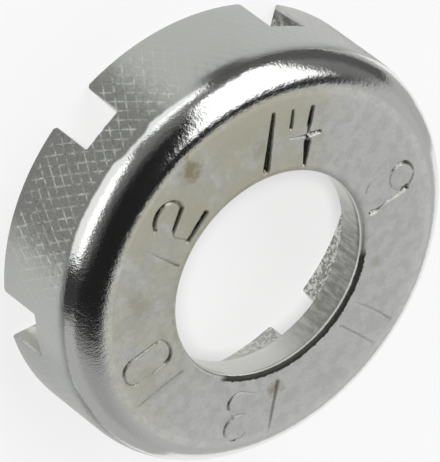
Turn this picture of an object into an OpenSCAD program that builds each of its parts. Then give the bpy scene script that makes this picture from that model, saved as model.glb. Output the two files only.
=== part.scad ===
// Round spoke wrench: a flat cup pressed from one thick steel blank. Its floor is
// punched out and becomes the numbered face, its wall is milled with six jaws that
// open at the rim, and nothing else is fitted to it. All lengths are millimetres.
// The face points along +Z, the rim stands on Z = 0 and the 9 gauge jaw is on +X.

/* [Cup] */
// Diameter over the wall at the open rim
rim_d = 35; // [30:0.5:40]
// How far the wall flares out from the shoulder down to the rim, all round
rim_flare = 0.3; // [0.1:0.1:1]
// Height from the rim to the numbered face
cup_h = 9.5; // [8.5:0.1:12]
// Thickness of the wall
wall_t = 3.4; // [2.4:0.1:4]
// Thickness of the face
face_t = 2.8; // [2:0.1:3.4]
// Outside radius of the pressed shoulder
shoulder_r = 3.2; // [1:0.1:4]
// Inside radius between the wall and the face
floor_r = 0.8; // [0.3:0.1:1.5]
// Broken edge around the rim, inside and outside
rim_break = 0.2; // [0.05:0.05:0.4]

/* [Hole] */
// Diameter of the punched hole
hole_d = 16.9; // [12:0.1:20]
// How far the punch stood off the cup's axis, along +X and along +Y
hole_off_x = -0.26; // [-0.5:0.02:0.5]
hole_off_y = -0.2; // [-0.5:0.02:0.5]
// Radius that the punch drew on the face side of the hole
punch_roll_r = 0.45; // [0.2:0.05:0.8]
// How much wider the hole tears open on its inner side, all round
tear_w = 0.12; // [0.05:0.01:0.3]
// Height of the torn part of the hole
tear_h = 0.6; // [0.3:0.1:0.8]

/* [Jaw widths] */
// Width of the 9 gauge jaw
jaw_9_w = 4.3; // [4:0.05:5]
// Width of the 10 gauge jaw
jaw_10_w = 3.95; // [3.7:0.05:4.6]
// Width of the 11 gauge jaw
jaw_11_w = 3.85; // [3.6:0.05:4.4]
// Width of the 12 gauge jaw
jaw_12_w = 3.55; // [3.3:0.05:4]
// Width of the 13 gauge jaw
jaw_13_w = 3.4; // [3.2:0.05:3.8]
// Width of the 14 gauge jaw
jaw_14_w = 3.25; // [3:0.05:3.6]

/* [Jaw places] */
// Angle of each jaw, counted round from the 9 gauge jaw
jaw_14_at = 63; // [50:0.5:70]
jaw_12_at = 120; // [110:0.5:130]
jaw_10_at = 176.5; // [170:0.5:190]
jaw_13_at = 236; // [230:0.5:250]
jaw_11_at = 295; // [290:0.5:310]
// Depth of the jaws, up from the rim
jaw_depth = 4; // [2.5:0.1:4.5]
// Broken corner at each side of a jaw's mouth
jaw_mouth = 0.3; // [0.1:0.05:0.5]

/* [Hidden] */
$fn = 180;

// Radii and heights that follow from the sizes above
rim_r = rim_d / 2;
crown_r = rim_r - rim_flare;
hole_r = hole_d / 2;
ceiling_z = cup_h - face_t;
// How far every cut runs past the face that it opens
overrun = face_t;

// Each jaw's width and its place round the rim
jaws = [
    [jaw_9_w, 0],
    [jaw_14_w, jaw_14_at],
    [jaw_12_w, jaw_12_at],
    [jaw_10_w, jaw_10_at],
    [jaw_13_w, jaw_13_at],
    [jaw_11_w, jaw_11_at],
];

// Angle that the wall leans by, so that it runs from its foot at the rim to just
// touch the round corner of radius r about centre
function wall_lean(foot, centre, r) =
    let (gap = foot - centre)
    atan2(gap.y, gap.x) + acos(r / norm(gap));

// Half section of a slightly conical plug: foot_r at Z = 0, round at its top corner
module plug_section(foot_r, top_r, top_z, corner_r) {
    centre = [top_r - corner_r, top_z - corner_r];
    intersection() {
        union() {
            square([centre.x, top_z]);
            translate(centre)
                rotate(wall_lean([foot_r, 0], centre, corner_r)) {
                    circle(corner_r);
                    translate([-top_r, -2 * top_z])
                        square([top_r + corner_r, 2 * top_z]);
                }
        }
        square([foot_r + corner_r, 2 * top_z]);
    }
}

// The drawn cup before any cutting, with its wall and face at even thickness
module drawn_cup() {
    rotate_extrude()
        difference() {
            plug_section(rim_r, crown_r, cup_h, shoulder_r);
            plug_section(rim_r - wall_t, crown_r - wall_t, ceiling_z, floor_r);
        }
}

// Breaks both edges of the rim at 45 degrees
module rim_breaks() {
    outer_foot = rim_r - rim_break;
    inner_foot = rim_r - wall_t + rim_break;
    rotate_extrude() {
        polygon([
            [outer_foot, 0],
            [outer_foot + overrun, 0],
            [outer_foot + overrun, overrun],
        ]);
        polygon([
            [inner_foot, 0],
            [inner_foot - overrun, overrun],
            [inner_foot - overrun, 0],
        ]);
    }
}

// The punched hole, a little off the axis: drawn round on the face, a straight
// land, then torn wider
module punched_hole() {
    roll_z = cup_h - punch_roll_r;
    translate([hole_off_x, hole_off_y, 0]) {
        translate([0, 0, ceiling_z - overrun])
            cylinder(r = hole_r, h = face_t + 2 * overrun);
        translate([0, 0, ceiling_z - tear_h])
            cylinder(r1 = hole_r + 2 * tear_w, r2 = hole_r, h = 2 * tear_h);
        rotate_extrude()
            difference() {
                translate([hole_r - punch_roll_r, roll_z])
                    square([2 * punch_roll_r, punch_roll_r]);
                translate([hole_r + punch_roll_r, roll_z])
                    circle(punch_roll_r);
            }
    }
}

// One jaw, cut through the wall along its own radius with parallel sides
module jaw(width) {
    half_w = width / 2;
    translate([rim_r - 2 * wall_t, 0, 0])
        rotate([90, 0, 90])
            linear_extrude(2 * wall_t + overrun)
                polygon([
                    [-half_w - jaw_mouth, 0],
                    [-half_w, jaw_mouth],
                    [-half_w, jaw_depth],
                    [half_w, jaw_depth],
                    [half_w, jaw_mouth],
                    [half_w + jaw_mouth, 0],
                    [half_w + jaw_mouth, -overrun],
                    [-half_w - jaw_mouth, -overrun],
                ]);
}

// The whole wrench, in bright nickel plate
module wrench_ring() {
    color("silver")
        difference() {
            drawn_cup();
            rim_breaks();
            punched_hole();
            for (each_jaw = jaws)
                rotate([0, 0, each_jaw[1]])
                    jaw(each_jaw[0]);
        }
}

wrench_ring();
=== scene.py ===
import math

import bpy
import numpy as np
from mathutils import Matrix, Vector, noise


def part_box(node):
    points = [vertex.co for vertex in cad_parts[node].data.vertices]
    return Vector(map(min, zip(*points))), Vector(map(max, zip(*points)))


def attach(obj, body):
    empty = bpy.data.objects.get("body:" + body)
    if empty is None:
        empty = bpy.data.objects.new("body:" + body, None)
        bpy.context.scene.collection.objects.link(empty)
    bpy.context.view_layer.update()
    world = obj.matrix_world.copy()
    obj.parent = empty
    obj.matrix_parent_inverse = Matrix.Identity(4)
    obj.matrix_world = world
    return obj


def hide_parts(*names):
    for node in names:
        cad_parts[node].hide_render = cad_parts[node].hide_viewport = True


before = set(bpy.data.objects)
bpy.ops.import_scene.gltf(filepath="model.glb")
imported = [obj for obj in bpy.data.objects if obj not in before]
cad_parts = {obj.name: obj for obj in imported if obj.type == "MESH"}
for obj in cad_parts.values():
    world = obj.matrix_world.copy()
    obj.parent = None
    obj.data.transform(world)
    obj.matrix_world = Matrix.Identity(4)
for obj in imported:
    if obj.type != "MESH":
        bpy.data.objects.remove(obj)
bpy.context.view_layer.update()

# The cup. A round blank of thick steel is drawn over a punch, so that its wall leans
# out a little towards the open rim and runs into the face over one large shoulder.
# Its rim is tumbled, which leaves both edges broken.
MM = 0.001
rim_r = 17.5 * MM
crown_r = 17.2 * MM
cup_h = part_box("wrench_ring")[1].z
wall_t = 3.4 * MM
inner_r = rim_r - wall_t
shoulder_r = 3.2 * MM
rim_break = 0.2 * MM


class Skin:
    """The closed skin of a turned piece, laid down as rings of points from ring to ring."""

    def __init__(self):
        self.points = []
        self.faces = []

    def point(self, radius, turn, z, centre=(0, 0)):
        """Lays down a point after that share of a turn round the centre."""
        angle = 2 * math.pi * turn
        x = centre[0] + radius * math.cos(angle)
        y = centre[1] + radius * math.sin(angle)
        self.points.append((x, y, z))
        return len(self.points) - 1

    def ring(self, radius, z, count, centre=(0, 0)):
        return [self.point(radius, k / count, z, centre) for k in range(count)]

    def join(self, last, following):
        """Faces between two rings, of which one may have several points for each of the other."""
        coarse = min(len(last), len(following))
        last_step = len(last) // coarse
        next_step = len(following) // coarse
        for k in range(coarse):
            near = [last[(k * last_step + j) % len(last)] for j in range(last_step + 1)]
            far = [following[(k * next_step + j) % len(following)] for j in range(next_step + 1)]
            self.faces.append(near + far[::-1])

    def object(self, name):
        mesh = bpy.data.meshes.new(name)
        mesh.from_pydata(self.points, [], self.faces)
        made = bpy.data.objects.new(name, mesh)
        bpy.context.scene.collection.objects.link(made)
        return made


def touching_lean(foot_r, centre, radius):
    """Lean of a wall that runs up from foot_r at the rim to just touch a round corner."""
    gap = Vector((foot_r, 0)) - centre
    return math.atan2(gap.y, gap.x) + math.acos(radius / gap.length)


shoulder_centre = Vector((crown_r - shoulder_r, cup_h - shoulder_r))
outer_lean = touching_lean(rim_r, shoulder_centre, shoulder_r)


def wall_r(z):
    return rim_r - z * math.tan(outer_lean)


def skin_r(z):
    """Radius of the outside at height z, on the wall and on the foot of the shoulder."""
    rise = z - shoulder_centre.y
    if rise < shoulder_r * math.sin(outer_lean):
        return wall_r(z)
    return shoulder_centre.x + math.sqrt(shoulder_r ** 2 - rise ** 2)


# The knurling. Two rolls press slanting grooves into the wall before the jaws are cut,
# and leave flat diamonds between them. The grooves run out at the rim and on the foot of
# the shoulder, and fingers have worn them nearly flat in two places.
knurl_count = 118
knurl_rows = 9
knurl_low = 0.3 * MM
knurl_high = 6.9 * MM
runout_rows_low = 1.5
runout_rows_high = 1
groove_depth = 0.1 * MM
land_share = 0.72
land_top_share = 0.6
land_round = 0.012 * MM
press_mean = 0.8
press_spread = 0.35
press_patches = 350
held_at = (74, 186)
held_far = 0.72
held_near = 0.97
held_wear = 0.7
columns = 2 * knurl_count
row_h = (knurl_high - knurl_low) / knurl_rows
cup = Skin()


def ease(value, low, high):
    """Runs smoothly from 0 at low to 1 at high."""
    share = min(max((value - low) / (high - low), 0), 1)
    return share * share * (3 - 2 * share)


def held(angle):
    """How much the fingers have worn the knurling at that angle, from 0 to 1."""
    return max(ease(math.cos(angle - math.radians(at)), held_far, held_near) for at in held_at)


def knurl_point(column, row, depth):
    """A point of the wall so many columns round and rows up, pressed in by that depth."""
    z = knurl_low + row * row_h
    runout = ease(row, 0, runout_rows_low) * ease(knurl_rows - row, 0, runout_rows_high)
    turn = column / columns
    angle = 2 * math.pi * turn
    patch = Vector((math.cos(angle) * rim_r, math.sin(angle) * rim_r, z)) * press_patches
    left = (press_mean + press_spread * noise.noise(patch)) * (1 - held_wear * held(angle) ** 2)
    return cup.point(skin_r(z) - depth * runout * left, turn, z)


crossings = {}
for row in range(knurl_rows + 1):
    for column in range(columns):
        if (row + column) % 2 == 0:
            crossings[column, row] = knurl_point(column, row, groove_depth)
        elif row in (0, knurl_rows):
            crossings[column, row] = knurl_point(column, row, 0)


def crossing(column, row):
    return crossings[column % columns, row]


def diamond(column, row):
    """One whole diamond: groove flanks all round, a rounded edge and a flat land."""
    sides = [(0, -1), (1, 0), (0, 1), (-1, 0)]

    def loop(share, depth):
        return [knurl_point(column + across * share, row + up * share, depth) for across, up in sides]

    corners = [crossing(column + across, row + up) for across, up in sides]
    edge = loop(land_share, land_round)
    top = loop(land_top_share, 0)
    for k in range(4):
        after = (k + 1) % 4
        cup.faces.append([corners[k], corners[after], edge[after], edge[k]])
        cup.faces.append([edge[k], edge[after], top[after], top[k]])
    cup.faces.append(top)


def half_diamond(column, row, up):
    """A diamond that the plain wall cuts through its middle."""
    middle = knurl_point(column, row + up / 2, 0)
    corners = [crossing(column, row), crossing(column + 1, row), crossing(column, row + up)]
    corners.append(crossing(column - 1, row))
    for k in range(4):
        face = [corners[k], corners[(k + 1) % 4], middle]
        cup.faces.append(face if up > 0 else face[::-1])


for column in range(columns):
    for row in range(knurl_rows + 1):
        if (row + column) % 2 == 0:
            continue
        if row == 0:
            half_diamond(column, row, 1)
        elif row == knurl_rows:
            half_diamond(column, row, -1)
        else:
            diamond(column, row)

# The rim, below the knurling, from the inside edge out. The outer edge is broken in two
# steps, so that it looks round.
edge_up = 0.6 * rim_break
edge_in = 0.06 * rim_break
rim_inside = cup.ring(inner_r + rim_break, 0, columns)
rim_outside = cup.ring(rim_r - rim_break, 0, columns)
cup.join(rim_inside, rim_outside)
rim_edge = cup.ring(wall_r(rim_break) - edge_in, edge_up, columns)
cup.join(rim_outside, rim_edge)
cup.join(rim_edge, [crossing(column, 0) for column in range(columns)])

# The shoulder and the face. The press leaves the shoulder as one round sweep, and the
# face as a flat ring. The face has a fine grid of points, for the numbers to be
# stamped into.
fine_columns = 4 * columns
grid_step = 0.08 * MM
stamp_out_r = 14.6 * MM
shoulder_steps = 22
hole_r = 8.45 * MM
hole_off = Vector((-0.26, -0.2)) * MM
punch_roll_r = 0.45 * MM
roll_out_r = hole_r + punch_roll_r


def shoulder_z(radius):
    beyond = max(radius - shoulder_centre.x, 0)
    return shoulder_centre.y + math.sqrt(shoulder_r ** 2 - beyond ** 2)


last = [crossing(column, knurl_rows) for column in range(columns)]
stamp_angle = math.acos((stamp_out_r - shoulder_centre.x) / shoulder_r)
knurl_angle = math.asin((knurl_high - shoulder_centre.y) / shoulder_r)
for step in range(1, shoulder_steps):
    angle = knurl_angle + (stamp_angle - knurl_angle) * step / shoulder_steps
    along = Vector((math.cos(angle), math.sin(angle))) * shoulder_r
    following = cup.ring(shoulder_centre.x + along.x, shoulder_centre.y + along.y, columns)
    cup.join(last, following)
    last = following
grid_rings = round((stamp_out_r - roll_out_r) / grid_step)
first_grid_point = len(cup.points)
for step in range(grid_rings + 1):
    share = step / grid_rings
    radius = stamp_out_r + (roll_out_r - stamp_out_r) * share
    following = cup.ring(radius, shoulder_z(radius), fine_columns, hole_off * share)
    cup.join(last, following)
    last = following

# The hole. A punch goes through from the face: it draws the edge round, shears a smooth
# land and tears the last of the steel out a little wider. It stood slightly off the
# cup's axis.
face_t = 2.8 * MM
ceiling_z = cup_h - face_t
tear_w = 0.12 * MM
tear_h = 0.6 * MM
roll_steps = 8
roll_squareness = 0.75
for step in range(1, roll_steps + 1):
    angle = math.pi / 2 * step / roll_steps
    radius = roll_out_r - punch_roll_r * math.sin(angle) ** roll_squareness
    drop = punch_roll_r * (1 - max(math.cos(angle), 0) ** roll_squareness)
    following = cup.ring(radius, cup_h - drop, fine_columns, hole_off)
    cup.join(last, following)
    last = following
end_grid_point = len(cup.points)
for radius, z in [(hole_r, ceiling_z + tear_h), (hole_r + tear_w, ceiling_z)]:
    following = cup.ring(radius, z, columns, hole_off)
    cup.join(last, following)
    last = following

# The inside, as the punch left it: a flat ceiling, a small round corner and the bore of
# the wall down to the rim.
floor_r = 0.8 * MM
floor_centre = Vector((crown_r - wall_t - floor_r, ceiling_z - floor_r))
inner_lean = touching_lean(inner_r, floor_centre, floor_r)
corner_steps = 6
mid_bore_z = 3 * MM


def bore_r(z):
    return inner_r - z * math.tan(inner_lean)


for step in range(corner_steps + 1):
    angle = math.pi / 2 - (math.pi / 2 - inner_lean) * step / corner_steps
    along = Vector((math.cos(angle), math.sin(angle))) * floor_r
    following = cup.ring(floor_centre.x + along.x, floor_centre.y + along.y, columns)
    cup.join(last, following)
    last = following
for z in (mid_bore_z, rim_break):
    following = cup.ring(bore_r(z), z, columns)
    cup.join(last, following)
    last = following
cup.join(last, rim_inside)

# The stamped numbers. Each gauge number is struck into the face with a narrow chisel
# edged punch, its top towards the rim. The strokes are V shaped, deeper at some ends
# than at others, and a little steel stands up beside them.
lip_share = 0.09
lip_at = 1.3
lip_reach = 0.35
lip_least = 0.002 * MM
lip_most = 0.01 * MM


def bend(centre_x, centre_y, radius_x, radius_y, first, final, steps=9):
    """Points along part of an oval, with its angles in degrees."""
    angles = np.radians(np.linspace(first, final, steps))
    return [(centre_x + radius_x * math.cos(a), centre_y + radius_y * math.sin(a)) for a in angles]


# Each number: its place round the face in degrees, the depth of its strokes as a share
# of their width, and the strokes. A stroke is its points in mm, across and out from the
# cup's axis, and its width at both ends. The digits of one number are struck to depths
# of their own.
numbers = [
    (70.7, 0.6, [
        ([(-2.4, 13.2), (-2.28, 8.75)], 0.34, 0.62),
        ([(-0.65, 13.24), (-0.63, 11.8)], 0.24, 0.3),
        ([(-0.6, 10.98), (1.2, 11.02)], 0.1, 0.3),
        ([(1.2, 11.02), (2.12, 11.15)], 0.5, 0.36),
        ([(1.09, 13.26), (1.02, 11.8)], 0.36, 0.44),
        ([(1.02, 11.8), (1.1, 10.5)], 0.16, 0.5),
        ([(1.1, 10.5), (1.18, 8.62)], 0.66, 0.3),
    ]),
    (9.5, 0.5, [
        (bend(-0.05, 12.4, 1.15, 1.12, 215, 140, 8), 0.26, 0.46),
        (bend(-0.05, 12.4, 1.15, 1.12, 140, 80, 7), 0.46, 0.14),
        (bend(-0.05, 12.4, 1.15, 1.12, 80, 20, 7), 0.14, 0.2),
        (bend(-0.05, 12.4, 1.15, 1.12, 20, -10, 4), 0.2, 0.5),
        (bend(-0.05, 12.4, 1.15, 1.12, 215, 320, 8), 0.14, 0.14),
        ([(1.25, 12.5), (1.25, 11.6), (1.2, 11.1)], 0.46, 0.34),
        ([(1.2, 11.1), (1.17, 10.6), (1.26, 10.1)], 0.34, 0.26),
        ([(1.26, 10.1), (1.3, 9.6), (1.12, 9.05)], 0.26, 0.54),
        ([(-1.44, 11.1), (-1.52, 10.3), (-1.37, 9.5), (-0.84, 9.1)], 0.12, 0.14),
    ]),
    (-52.1, 0.22, [
        ([(-0.97, 9.5), (-1.2, 11.6), (-1.16, 13.9)], 0.28, 0.4),
        ([(1.18, 9.5), (1.12, 11), (1.13, 13.9)], 0.36, 0.34),
    ]),
    (-115.5, 0.22, [
        ([(-2.95, 9.5), (-3.3, 14.1)], 0.46, 0.26),
    ]),
    (-115.5, 0.33, [
        ([(-1.1, 10.35)] + bend(0.3, 11, 1.05, 0.97, 250, 390, 11), 0.2, 0.34),
        ([(-0.45, 12.05), (0.75, 12.15)], 0.22, 0.26),
        (bend(0, 13.2, 1.15, 1.05, -60, 150, 15), 0.3, 0.2),
    ]),
    (-170.1, 0.22, [
        ([(-2.3, 9.75), (-2.36, 13.8)], 0.36, 0.26),
    ]),
    (-170.1, 0.36, [
        ([(1.66, 10.6), (1.7, 13.1)], 0.3, 0.34),
        (bend(0.56, 13.05, 1.1, 0.9, 0, 180, 11), 0.34, 0.24),
        ([(-0.54, 13.05), (-0.6, 10.5)], 0.2, 0.2),
        (bend(0.6, 10.6, 1.15, 0.8, 180, 360, 11), 0.4, 0.2),
    ]),
    (131.0, 0.25, [
        ([(-2.4, 12.6), (-2.42, 9.1)], 0.2, 0.42),
    ]),
    (131.0, 0.38, [
        (bend(0.4, 12.3, 1.3, 1.1, 155, 60, 7), 0.36, 0.44),
        (bend(0.4, 12.3, 1.3, 1.1, 60, -35, 7), 0.36, 0.4),
        ([(1.46, 11.67), (0.6, 11.45), (-0.3, 11.2)], 0.44, 0.36),
        ([(-0.3, 11.2), (-0.7, 10.9), (-0.62, 10.2), (-0.45, 9.6)], 0.2, 0.24),
        ([(-0.5, 9.45), (1.9, 9.38)], 0.42, 0.5),
    ]),
]


def softened(points):
    """The same stroke with its corners cut off twice, as a worn punch leaves them."""
    for _ in range(2):
        cut = [points[0]]
        for (x0, y0), (x1, y1) in zip(points[:-1], points[1:]):
            cut.append((0.75 * x0 + 0.25 * x1, 0.75 * y0 + 0.25 * y1))
            cut.append((0.25 * x0 + 0.75 * x1, 0.25 * y0 + 0.75 * y1))
        points = cut + [points[-1]]
    return points


def strike(places, number):
    """Depth of one number's strokes, and height of the steel pushed up beside them."""
    turn, depth_share, strokes = number
    out = np.array([math.cos(math.radians(turn)), math.sin(math.radians(turn))])
    across = np.array([out[1], -out[0]])
    depth = np.zeros(len(places))
    lip = np.zeros(len(places))
    for points, first_w, final_w in strokes:
        bent_by_hand = 2 < len(points) < 6
        if bent_by_hand:
            points = softened(points)
        spots = [(across * x + out * y) * MM for x, y in points]
        lengths = [float(np.linalg.norm(b - a)) for a, b in zip(spots[:-1], spots[1:])]
        gone = 0.0
        for start, end, length in zip(spots[:-1], spots[1:], lengths):
            along = end - start
            share = np.clip((places - start) @ along / length ** 2, 0, 1)
            away = np.linalg.norm(places - start - share[:, None] * along, axis=1)
            travel = (gone + share * length) / sum(lengths)
            half = (first_w + (final_w - first_w) * travel) * MM / 2
            reach = away / half
            depth = np.maximum(depth, 2 * half * depth_share * np.clip(1 - reach, 0, 1))
            lip = np.maximum(lip, half * lip_share * np.exp(-((reach - lip_at) / lip_reach) ** 2))
            gone += length
    return depth, np.where(depth > 0, 0, lip)


face_points = np.array(cup.points[first_grid_point:end_grid_point])
sunk = np.zeros(len(face_points))
raised = np.zeros(len(face_points))
for number in numbers:
    number_depth, number_lip = strike(face_points[:, :2], number)
    sunk = np.maximum(sunk, number_depth)
    raised = np.maximum(raised, number_lip)
face_points[:, 2] += np.where(sunk > 0, -sunk, raised * (raised > lip_least))
face_points[:, 2] = np.minimum(face_points[:, 2], cup_h + lip_most)
cup.points[first_grid_point:end_grid_point] = [tuple(point) for point in face_points.tolist()]
wrench = cup.object("spoke_wrench_cup")

# The jaws. Six slots are milled up from the rim, each to the width of one gauge of
# nipple, with parallel sides and a square end. Tumbling and plating leave every edge
# slightly round.
jaw_depth = 4 * MM
jaw_mouth = 0.3 * MM
jaw_corner_r = 0.2 * MM
jaw_corner_steps = 3
edge_round = 0.12 * MM
edge_steps = 4
cut_past = 1.5 * MM
sharp_from = 34
# Each jaw's width in mm, and its place round the cup in degrees.
jaws = [(4.3, 0), (3.25, 63), (3.55, 120), (3.95, 176.5), (3.4, 236), (3.85, 295)]


def quarter_turn(steps):
    return [math.pi / 2 * k / steps for k in range(steps + 1)]


def jaw_outline(width, grown):
    """Outline of a jaw seen along its radius, as points across and up."""
    half = width / 2 + grown
    top = jaw_depth + grown
    right = [(half + jaw_mouth, -cut_past), (half + jaw_mouth, 0), (half, jaw_mouth)]
    for a in quarter_turn(jaw_corner_steps):
        in_by = jaw_corner_r * (1 - math.cos(a))
        down_by = jaw_corner_r * (1 - math.sin(a))
        right.append((half - in_by, top - down_by))
    return right + [(-y, z) for y, z in right[::-1]]


def jaw_sections():
    """Steps through the wall from the bore out: which side, how far beyond it, how much wider."""
    quarter = quarter_turn(edge_steps)
    sections = [(bore_r, -cut_past, edge_round)]
    for a in quarter[::-1]:
        sections.append((bore_r, edge_round * (1 - math.sin(a)), edge_round * (1 - math.cos(a))))
    for a in quarter:
        sections.append((wall_r, edge_round * (math.sin(a) - 1), edge_round * (1 - math.cos(a))))
    return sections + [(wall_r, cut_past, edge_round)]


cutter = Skin()
for width, jaw_at in jaws:
    out_x = math.cos(math.radians(jaw_at))
    out_y = math.sin(math.radians(jaw_at))
    last = None
    for side, beyond, grown in jaw_sections():
        loop = []
        for y, z in jaw_outline(width * MM, grown):
            x = math.sqrt((side(z) + beyond) ** 2 - y ** 2)
            cutter.points.append((x * out_x - y * out_y, x * out_y + y * out_x, z))
            loop.append(len(cutter.points) - 1)
        if last is None:
            cutter.faces.append(loop[::-1])
        else:
            cutter.join(last, loop)
        last = loop
    cutter.faces.append(last)
mill = cutter.object("jaw_mill")
milling = wrench.modifiers.new("jaws", "BOOLEAN")
milling.operation = "DIFFERENCE"
milling.solver = "MANIFOLD"
milling.object = mill
bpy.context.view_layer.update()
shaped = bpy.data.meshes.new_from_object(wrench.evaluated_get(bpy.context.evaluated_depsgraph_get()))
wrench.modifiers.clear()
wrench.data = shaped
shaped.name = "spoke_wrench_cup"
bpy.data.objects.remove(mill)
shaped.shade_smooth()
shaped.set_sharp_from_angle(angle=math.radians(sharp_from))

# The nickel plate. Bright nickel over the pressed steel: mirror bright on the polished
# shoulder, satin and a little stained on the face, dull on the knurling, pitted inside
# and bare in the milled jaws, with old dirt in the strokes and a dark band on the torn edge.
# Painted shade darkens the lands of the knurling and one side of the hole's wall, and
# painted highlights lighten the grooves of the knurling.
face_grey = (0.95, 0.96, 0.93)
warm_grey = (0.88, 0.87, 0.75)
straw_grey = (0.8, 0.785, 0.64)
shoulder_white = (0.8, 0.81, 0.79)
worn_grey = (0.46, 0.47, 0.45)
side_painted_shade_grey = (0.37, 0.38, 0.36)
land_painted_shade_grey = (0.23, 0.235, 0.22)
groove_painted_highlight = (0.62, 0.63, 0.6)
inside_grey = (0.68, 0.68, 0.65)
pit_grey = (0.3, 0.3, 0.28)
hole_shade_grey = (0.24, 0.24, 0.22)
milled_grey = (0.5, 0.5, 0.46)
deep_grey = (0.12, 0.125, 0.11)
grime = (0.05, 0.045, 0.035)
tarnish = (0.42, 0.42, 0.33)
stain_brown = (0.4, 0.32, 0.11)


class Socket:
    """A socket of a shader node, on which sums are written as on a number."""

    def __init__(self, tree, socket):
        self.tree = tree
        self.socket = socket

    def node(self, kind, inputs=(), out=0, **settings):
        """Makes a node of that kind: its settings first, then the values or links of its sockets."""
        made = self.tree.nodes.new(kind)
        for name, value in settings.items():
            setattr(made, name, value)
        pairs = inputs.items() if isinstance(inputs, dict) else enumerate(inputs)
        for name, value in pairs:
            if isinstance(value, Socket):
                self.tree.links.new(value.socket, made.inputs[name])
            else:
                made.inputs[name].default_value = value
        return Socket(self.tree, made.outputs[out]) if made.outputs else None

    def math(self, operation, *values):
        return self.node("ShaderNodeMath", values, operation=operation)

    def __add__(self, other):
        return self.math("ADD", self, other)

    __radd__ = __add__

    def __sub__(self, other):
        return self.math("SUBTRACT", self, other)

    def __rsub__(self, other):
        return self.math("SUBTRACT", other, self)

    def __mul__(self, other):
        return self.math("MULTIPLY", self, other)

    __rmul__ = __mul__

    def __truediv__(self, other):
        return self.math("DIVIDE", self, other)

    def __rtruediv__(self, other):
        return self.math("DIVIDE", other, self)

    def __pow__(self, other):
        return self.math("POWER", self, other)

    def __rpow__(self, other):
        return self.math("POWER", other, self)

    def larger(self, other):
        return self.math("MAXIMUM", self, other)

    def ease(self, low, high):
        """0 below low, 1 above high and smooth between, or the other way when high is less."""
        first, final = (0, 1) if low < high else (1, 0)
        inputs = {"Value": self, "From Min": min(low, high), "From Max": max(low, high)}
        inputs.update({"To Min": first, "To Max": final})
        return self.node("ShaderNodeMapRange", inputs, interpolation_type="SMOOTHSTEP")

    def mix(self, first, second):
        """Colour that runs from first to second as this goes from 0 to 1."""
        colours = [value if isinstance(value, Socket) else (*value, 1) for value in (first, second)]
        inputs = {0: self, 6: colours[0], 7: colours[1]}
        return self.node("ShaderNodeMix", inputs, out=2, data_type="RGBA")

    def parts(self):
        made = self.node("ShaderNodeSeparateXYZ", [self]).socket.node
        return [Socket(self.tree, made.outputs[k]) for k in range(3)]

    def scaled(self, factor):
        return self.node("ShaderNodeVectorMath", [self, (factor,) * 3], operation="MULTIPLY")

    def noise(self, scale, detail=2, roughness=0.5):
        """Noise with scale cells to the unit that this vector is in."""
        inputs = {"Vector": self, "Scale": scale, "Detail": detail, "Roughness": roughness}
        return self.node("ShaderNodeTexNoise", inputs, out="Fac")

    def finish(self, output_kind="ShaderNodeOutputMaterial"):
        """Makes this the finished surface, or the glow of the world."""
        self.node(output_kind, {"Surface": self})


def emptied(owner):
    """Clears the nodes of a material or of the world, and gives a start for new ones."""
    owner.use_nodes = True
    owner.node_tree.nodes.clear()
    return Socket(owner.node_tree, None)


# Where a point of the steel lies: its place in mm, its distance from the cup's axis and
# from the middle of the hole, and its place on the wall of the hole rolled out flat. Each
# mask below is 1 between its heights and radii in mm, and runs out over a short way.
plate = bpy.data.materials.new("bright_nickel_plate")
start = emptied(plate)
place = start.node("ShaderNodeTexCoord", out="Object").scaled(1 / MM)
x, y, z = place.parts()
radius = (x * x + y * y) ** 0.5
hole_x = x - hole_off.x / MM
hole_y = y - hole_off.y / MM
from_hole = (hole_x * hole_x + hole_y * hole_y) ** 0.5
round_hole = start.math("ARCTAN2", hole_y, hole_x) * (hole_r / MM)
rolled_out = start.node("ShaderNodeCombineXYZ", [round_hole, z * 0.25, 0])
within_wall = radius.ease(14.4, 14.1)


def towards(degrees):
    """How closely a point lies in that direction from the axis, 1 when exactly."""
    a = math.radians(degrees)
    return (x * math.cos(a) + y * math.sin(a)) / radius


def hole_towards(degrees):
    """How closely a point lies in that direction from the middle of the hole."""
    a = math.radians(degrees)
    return (hole_x * math.cos(a) + hole_y * math.sin(a)) / from_hole


# Unevenness of the plating, from broad clouds to fine grain.
cloud = place.noise(0.35, 4, 0.55)
blotch = place.noise(1.1, 3, 0.45).ease(0.58, 0.4)
mottle = place.noise(1.6, 4, 0.6)
pits = place.noise(3.6, 4, 0.7).ease(0.52, 0.42)
ripple = place.noise(4, 2, 0.5)
speckle = place.noise(5, 4, 0.8).ease(0.55, 0.3)
grain = place.noise(8, 3, 0.65)
streaks = rolled_out.noise(2.5, 3, 0.6).ease(0.25, 0.65)
teeth = rolled_out.noise(4.5, 4, 0.7)

# The wall and the foot of the shoulder: dull, and painted dark up to a wavy line, which
# bulges between the 12 and the 14, as painted shade for the shadowed floor they mirror.
# They are lighter where the wall is held, partly from real wear and partly as a painted
# sheen, and lighter at the lower left as a painted sheen only. A groove, which gets a
# painted highlight, is where the steel lies deeper than the rolled skin, whose shoulder is
# taken as a parabola there.
worn_rise = 0.55
low_side_rise = 0.9
pinch_rise = 0.32
wavy_rise = 0.25
worn = towards(held_at[0]).ease(held_far, held_near)
worn = worn.larger(towards(held_at[1]).ease(held_far, held_near))
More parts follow.
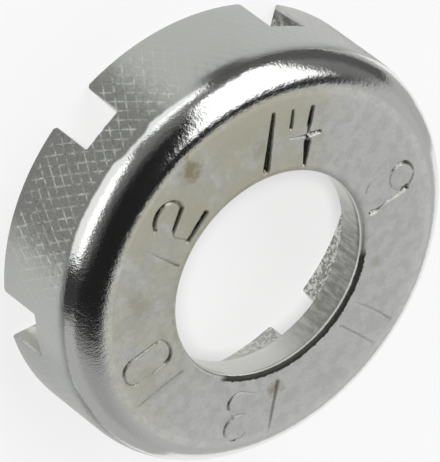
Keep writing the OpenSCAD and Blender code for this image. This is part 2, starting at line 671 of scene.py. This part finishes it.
# The lower left is lighter as a painted sheen, not from wear; with the held places it makes the
# lighter patches, partly real wear and partly painted sheen.
lower_left_painted_sheen = towards(212).ease(0.82, 0.96)
wear_and_painted_sheen = worn.larger(lower_left_painted_sheen * z.ease(6.4, 6.8))
pinch = towards(118).ease(0.993, 0.9997)
rise = (worn * worn_rise).larger(lower_left_painted_sheen * low_side_rise) + pinch * pinch_rise
on_wall = (z - rise + (mottle - 0.5) * wavy_rise).ease(7.1, 6.85) * radius.ease(16.3, 16.6)
knee_z = (shoulder_centre.y + shoulder_r * math.sin(outer_lean)) / MM
above_knee = (z - knee_z).larger(0)
skin_line = rim_r / MM - z * math.tan(outer_lean)
skin_line = skin_line - above_knee * above_knee / (2 * shoulder_r / MM)
groove = (skin_line - radius).ease(0.012, 0.06) * on_wall * z.ease(6.95, 6.8)
in_jaw = z.ease(4.15, 4.05) * radius.ease(14.15, 14.3) * radius.ease(17.25, 17.1)

# The face, its strokes and its stains. A stain is its place across and up, its radius and
# its strength, and its edge wanders and fades by shares of the radius.
stain_wander = 2.5
stain_fade = 1.2
on_face = z.ease(9.36, 9.48) * within_wall
face_tint = z.ease(9.2, 9.3) * (radius + (mottle - 0.5) * 0.3).ease(15, 14.7)
left_side = (x * -0.55 + y * 0.6 + cloud * 4).ease(2, 7)
straw_side = towards(106).ease(0.6, 0.97) * (cloud * 1.2 + mottle * 0.3).ease(0.45, 0.9)
face_z = cup_h / MM
stroke = z.ease(face_z - 0.012, face_z - 0.12) * radius.ease(14.1, 13.8) * from_hole.ease(8.9, 9.05)
stains = [
    (-5.3, 12.4, 1.1, 0.75),
    (8.9, -4.3, 0.7, 0.22),
    (-1.7, -10.4, 0.8, 0.6),
    (-11.4, 3.7, 1.3, 0.35),
    (0.5, 10.9, 0.9, 0.4),
]
stain = 0
for stain_x, stain_y, stain_r, strength in stains:
    across = x - stain_x
    along = y - stain_y
    from_stain = (across * across + along * along) ** 0.5 + (mottle - 0.5) * stain_wander * stain_r
    stain = (from_stain.ease(stain_r * stain_fade, 0) * strength).larger(stain)

# The inside and the hole: torn and dark on one side of its edge, softer all round the
# rest, and darker on its wall towards -35 degrees, which is painted shade.
inside = z.ease(6.9, 6.6) * within_wall
in_hole = from_hole.ease(8.75, 8.55) * z.ease(9.1, 8.95)
pitted = pits * towards(-35).ease(0.5, 0.95) * z.ease(6.5, 4.5)
# Painted shade on the side of the hole's wall towards -35 degrees.
painted_hole_shade = hole_towards(-34.8).ease(0.5, 1)
torn = (from_hole + (teeth - 0.5) * 0.5).ease(8.85, 8.79) * (z + (teeth - 0.5) * 0.2).ease(9.2, 9.26)
torn = torn * hole_towards(-74).ease(0.5, 0.6)
soft_edge = from_hole.ease(9, 8.85) * z.ease(8.5, 8.9) * (1 - hole_towards(-74).ease(0.54, 0.64))


def layered(colour, layers):
    """That colour with the others laid over it in turn, each as thickly as its mask says."""
    for mask, over in layers:
        colour = mask.mix(colour, over)
    return colour


def added(level, parts):
    """That level with so much of each part added to it."""
    for part, much in parts:
        level = level + part * much
    return level


# The colours, from the clean steel to the dirt on it.
face_colour = layered(face_grey, [
    (left_side * (mottle * 0.6 + cloud * 0.8).ease(0.45, 0.85), warm_grey),
    (speckle * 0.12, grime),
    (blotch * 0.16, worn_grey),
    (straw_side, straw_grey),
    (stain, stain_brown),
])
# Lighter where worn and where the sheen is painted, with painted shade on the side towards 195
# degrees.
sheen_and_wear_colour = towards(195).ease(0.93, 0.99).mix(worn_grey, side_painted_shade_grey)
# The lands are painted dark as shade, for the shadowed floor that they mirror.
wall_colour = layered(land_painted_shade_grey, [
    ((wear_and_painted_sheen + (mottle - 0.5) * 0.5).ease(0.1, 0.8), sheen_and_wear_colour),
    # Painted highlight along the grooves.
    (groove * (mottle - grain * 0.3).ease(0.2, 0.55), groove_painted_highlight),
    (grain.ease(0.56, 0.36) * (1 - wear_and_painted_sheen) * 0.55, deep_grey),
])
dark_jaw = towards(63).ease(0.93, 0.98) * (0.45 + mottle * 0.7)
colour = layered(shoulder_white, [
    (face_tint, face_colour),
    (on_wall, wall_colour),
    (inside, pitted.mix(inside_grey, pit_grey)),
    # The hole's wall, with painted shade on one side broken by streaks.
    (in_hole, (painted_hole_shade * (streaks * 0.5 + 0.5)).mix(inside_grey, hole_shade_grey)),
    (in_jaw * mottle.ease(0.2, 0.6), dark_jaw.mix(milled_grey, deep_grey)),
    (stroke * 0.8, grain.ease(0.36, 0.6).mix(tarnish, grime)),
    (torn * 0.9, grime),
])

# How much rougher than the polish each part is, and the fine relief of the plating, in
# shares of its height.
polish = 0.13
relief_h = 0.017 * MM
left_shoulder = towards(172).ease(0.72, 0.97) * z.ease(7.1, 7.4) * radius.ease(14.3, 14.7)
rough = added(polish, [
    (on_face, 0.27),
    (on_face * radius.ease(14.2, 12.5), 0.1),
    (on_wall, 0.17),
    (torn, 0.3),
    (inside, 0.26),
    (in_hole, 0.2),
    (stroke, 0.1),
    (in_jaw, 0.2),
    (mottle - 0.5, 0.12),
    (soft_edge, 0.25),
])
relief = added(mottle * 0.9, [
    (ripple, 0.7),
    (grain, 0.15),
    (grain * on_face, 0.3),
    (grain * left_shoulder, 0.4),
    (pits * inside, -1.5),
    (teeth * in_hole, 2.5),
    (teeth * torn, 8),
])
bump_inputs = {"Height": relief, "Distance": relief_h, "Strength": 1.0}
bump = start.node("ShaderNodeBump", bump_inputs, out="Normal")
metal_inputs = {"Base Color": colour, "Metallic": 1.0, "Roughness": rough, "Normal": bump}
start.node("ShaderNodeBsdfPrincipled", metal_inputs).finish()
shaped.materials.clear()
shaped.materials.append(plate)
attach(wrench, "root")
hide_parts("wrench_ring")

# The floor: a wide sheet of matt white card that the wrench stands on. Part of its white
# is its own, for what the camera and the metal see of it, so that its shadow is faint.
half_floor = 2.0
card_white = (0.95, 0.95, 0.95)
clean_share = 0.6
sheet = bpy.data.meshes.new("white_card")
corners = [(-half_floor, -half_floor, 0), (half_floor, -half_floor, 0)]
corners += [(half_floor, half_floor, 0), (-half_floor, half_floor, 0)]
sheet.from_pydata(corners, [], [(0, 1, 2, 3)])
floor = bpy.data.objects.new("white_card", sheet)
bpy.context.scene.collection.objects.link(floor)
card = bpy.data.materials.new("matt_white_card")
card_start = emptied(card)
card_diffuse = card_start.node("ShaderNodeBsdfDiffuse", {"Color": (*card_white, 1)})
card_clean = card_start.node("ShaderNodeEmission", {"Color": (1, 1, 1, 1), "Strength": 1.0})
seen = card_start.node("ShaderNodeLightPath", out="Is Camera Ray")
mirrored = card_start.node("ShaderNodeLightPath", out="Is Glossy Ray")
through = card_start.node("ShaderNodeLightPath", out="Is Transmission Ray")
shown = (seen + mirrored + through) * clean_share
card_start.node("ShaderNodeMixShader", {"Fac": shown, 1: card_diffuse, 2: card_clean}).finish()
sheet.materials.append(card)

# The studio. A light grey wall fills the half behind the wrench, and the half on the
# camera's side is dark and hazy, with one large high window and two low ones. One lamp
# shines from the camera's side, and the metal doesn't mirror it.
wall_glow = 0.505
wall_edge_right = -10
wall_edge_left = -36
wall_shade = 0.28
dark_glow = 0.015
haze_glow = 0.17
window_glow = 1.5
lamp_azimuth = 122.1
lamp_elevation = 44
lamp_energy = 2.35
lamp_spread = 8
world = bpy.data.worlds.new("soft_studio")
bpy.context.scene.world = world
sky = emptied(world)
sky_x, sky_y, sky_z = sky.node("ShaderNodeTexCoord", out="Generated").parts()
level_share = (sky_x * sky_x + sky_y * sky_y) ** 0.5
from_top = sky.math("ARCCOSINE", sky_z) * math.degrees(1)
# The sky as a flat map: degrees from straight up, towards +X and towards +Y.
map_x = from_top * sky_x / level_share
map_y = from_top * sky_y / level_share


def pane(azimuth, near, far, right, left, soft):
    """A window towards that azimuth, with its four sides and the softness of its edge in degrees."""
    a = math.radians(azimuth)
    ahead = map_x * math.cos(a) + map_y * math.sin(a)
    aside = map_y * math.cos(a) - map_x * math.sin(a)
    tall = ahead.ease(near - soft, near + soft) * ahead.ease(far + soft, far - soft)
    return tall * aside.ease(right - soft, right + soft) * aside.ease(left + soft, left - soft)


high_window = pane(0, 7, 54, 7, 65, 2)
near_window = pane(90, 82, 130, -16, 30, 5)
far_window = pane(147, 74, 130, -38, 34, 4)
wall_edge = map_x.ease(18, -16) * (wall_edge_left - wall_edge_right) + wall_edge_right
behind = (map_y - wall_edge).ease(2, -2)
shade = 1 - map_x.ease(4, -28) * wall_shade
haze_gap = pane(189, 40, 140, -17, 17, 6)
haze = from_top.ease(42, 72) * (1 - haze_gap)
level = (dark_glow + haze * haze_glow) * (1 - behind) + behind * wall_glow * shade
level = level + (high_window + near_window + far_window) * window_glow
glow = sky.node("ShaderNodeBackground", {"Color": (1, 1, 1, 1), "Strength": level})
glow.finish("ShaderNodeOutputWorld")
card_lamp = bpy.data.lights.new("card_lamp", "SUN")
card_lamp.energy = lamp_energy
card_lamp.angle = math.radians(lamp_spread)
hung = bpy.data.objects.new("card_lamp", card_lamp)
bpy.context.scene.collection.objects.link(hung)
lamp_side = math.radians(lamp_azimuth)
lamp_rise = math.radians(lamp_elevation)
lamp_at = Vector((math.cos(lamp_side), math.sin(lamp_side), math.tan(lamp_rise))).normalized()
hung.location = lamp_at
hung.rotation_euler = lamp_at.to_track_quat("Z", "Y").to_euler()
hung.visible_glossy = False

# Curved cards stand round the wrench, outside the photograph, for the polished steel to
# mirror: a long black one and a low one beyond the 14, a short black one and a grey one
# beyond the 12 and the 10, and three grey ones beyond the 9. Only the metal sees them.
# Each card's glow, the angles from and to which it stands, its distance and height in mm.
cards = [
    ("long_black_card", 0.1, (8, 82), 40, 13),
    ("low_black_card", 0.1, (71, 88), 28, 8),
    ("short_black_card", 0.04, (160, 181), 33, 14),
    ("grey_card", 0.46, (181, 250), 33, 13),
    ("side_card", 0.46, (-16, -2), 36, 13),
    ("corner_card", 0.46, (-2, 13), 31, 13),
    ("low_grey_card", 0.46, (13, 40), 31, 4),
]
card_steps = 12
for name, card_glow, (first, final), card_r, card_h in cards:
    curved = Skin()
    turns = [(first + (final - first) * k / card_steps) / 360 for k in range(card_steps + 1)]
    low = [curved.point(card_r * MM, turn, 0) for turn in turns]
    high = [curved.point(card_r * MM, turn, card_h * MM) for turn in turns]
    curved.faces = [(low[k], low[k + 1], high[k + 1], high[k]) for k in range(card_steps)]
    stood = curved.object(name)
    paper = bpy.data.materials.new(name)
    paper_inputs = {"Color": (1, 1, 1, 1), "Strength": card_glow}
    emptied(paper).node("ShaderNodeEmission", paper_inputs).finish()
    stood.data.materials.append(paper)
    stood.visible_camera = False
    stood.visible_diffuse = False
    stood.visible_shadow = False

# The camera, at the photograph's viewpoint and angle, turned about its own gaze as the
# photograph is.
camera_at = Vector((-69.413, 110.6305, 128.3038)) * MM
camera_aim = Vector((0.6483, -1.0543, 1.2846)) * MM
camera_roll = 127.2042
lens_mm = 187.2186
sensor_mm = 36
nearest_seen = 10 * MM
photo_view = bpy.data.cameras.new("photo_view")
photo_view.lens = lens_mm
photo_view.sensor_width = sensor_mm
photo_view.clip_start = nearest_seen
camera = bpy.data.objects.new("photo_view", photo_view)
bpy.context.scene.collection.objects.link(camera)
camera.location = camera_at
gaze = camera_aim - camera_at
sideways = gaze.cross(Vector((0, 0, 1))).normalized()
upward = sideways.cross(gaze).normalized()
roll = math.radians(camera_roll)
camera_x = sideways * math.cos(roll) + upward * math.sin(roll)
camera_y = upward * math.cos(roll) - sideways * math.sin(roll)
pose = camera.matrix_world.copy()
for row in range(3):
    pose[row][0] = camera_x[row]
    pose[row][1] = camera_y[row]
    pose[row][2] = -gaze.normalized()[row]
    pose[row][3] = camera_at[row]
camera.matrix_world = pose
bpy.context.scene.camera = camera
bpy.context.scene.view_settings.view_transform = "Standard"
